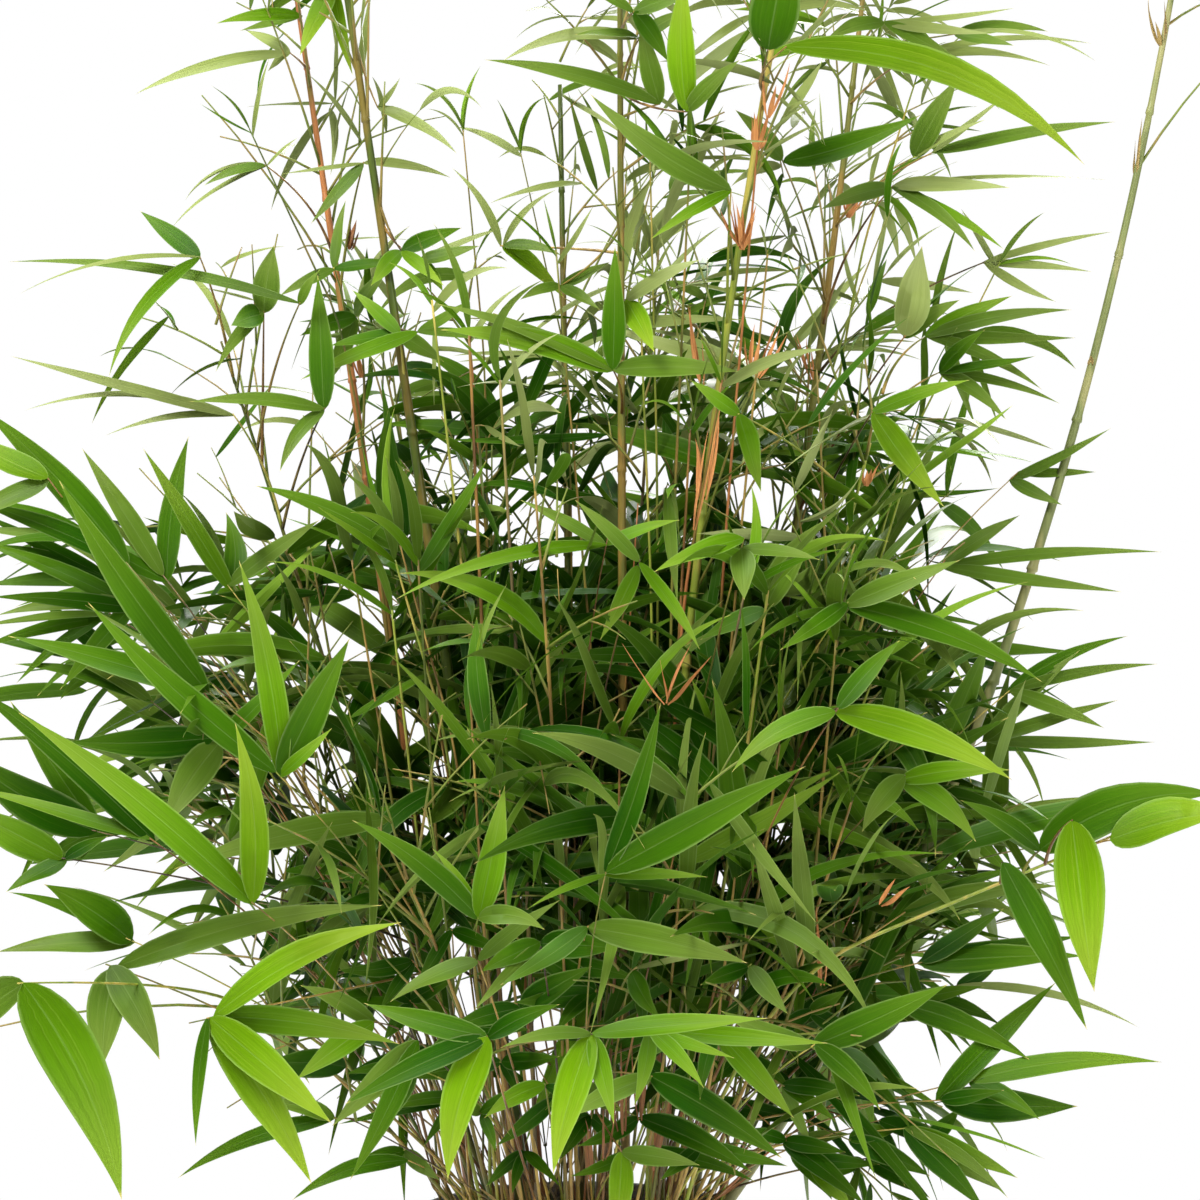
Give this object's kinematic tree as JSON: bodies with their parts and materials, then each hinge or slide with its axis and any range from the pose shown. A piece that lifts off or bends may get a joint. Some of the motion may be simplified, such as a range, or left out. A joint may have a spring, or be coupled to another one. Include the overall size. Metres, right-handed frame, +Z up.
{
  "type": "potted bamboo",
  "caption": "Clump-forming bamboo in a plain round pot: slender upright canes with long narrow arching leaves from the soil to the tips.",
  "frame": {"origin": "centre of the pot's flat underside", "axes": "+Z up, -Y to the plant's front, +X to the right as seen from the front"},
  "size_m": [0.9152, 0.7991, 1.1229],
  "materials": {
    "pot_plastic": "matt, near black",
    "potting_mix": "moist, dark brown",
    "cane": "smooth, olive green",
    "leaf": "smooth, leaf green"
  },
  "bodies": {
    "root": {"pot": "pot_plastic", "soil": "potting_mix", "culm_tall_left": "cane", "culm_tall_red": "cane", "culm_tall_centre": "cane", "culm_tall_front": "cane", "culm_tall_right": "cane", "culm_tall_far_right": "cane", "culm_tall_back": "cane", "culm_arch_left": "cane", "culm_inner_left": "cane", "culm_inner_centre": "cane", "culm_arch_right": "cane", "culm_back_left": "cane", "culm_back_right": "cane", "culm_middle_1": "cane", "culm_middle_2": "cane", "culm_middle_3": "cane", "culm_middle_4": "cane", "culm_middle_5": "cane", "culm_middle_6": "cane", "culm_middle_7": "cane", "culm_low_1": "cane", "culm_low_2": "cane", "culm_low_3": "cane", "culm_low_4": "cane", "culm_low_5": "cane", "culm_low_6": "cane", "culm_low_7": "cane", "culm_low_8": "cane", "foliage_tall_left": "leaf", "foliage_tall_red": "leaf", "foliage_tall_centre": "leaf", "foliage_tall_front": "leaf", "foliage_tall_right": "leaf", "foliage_tall_far_right": "leaf", "foliage_tall_back": "leaf", "foliage_arch_left": "leaf", "foliage_inner_left": "leaf", "foliage_inner_centre": "leaf", "foliage_arch_right": "leaf", "foliage_back_left": "leaf", "foliage_back_right": "leaf", "foliage_middle_1": "leaf", "foliage_middle_2": "leaf", "foliage_middle_3": "leaf", "foliage_middle_4": "leaf", "foliage_middle_5": "leaf", "foliage_middle_6": "leaf", "foliage_middle_7": "leaf", "foliage_low_1": "leaf", "foliage_low_2": "leaf", "foliage_low_3": "leaf", "foliage_low_4": "leaf", "foliage_low_5": "leaf", "foliage_low_6": "leaf", "foliage_low_7": "leaf", "foliage_low_8": "leaf"}
  },
  "joints": []
}
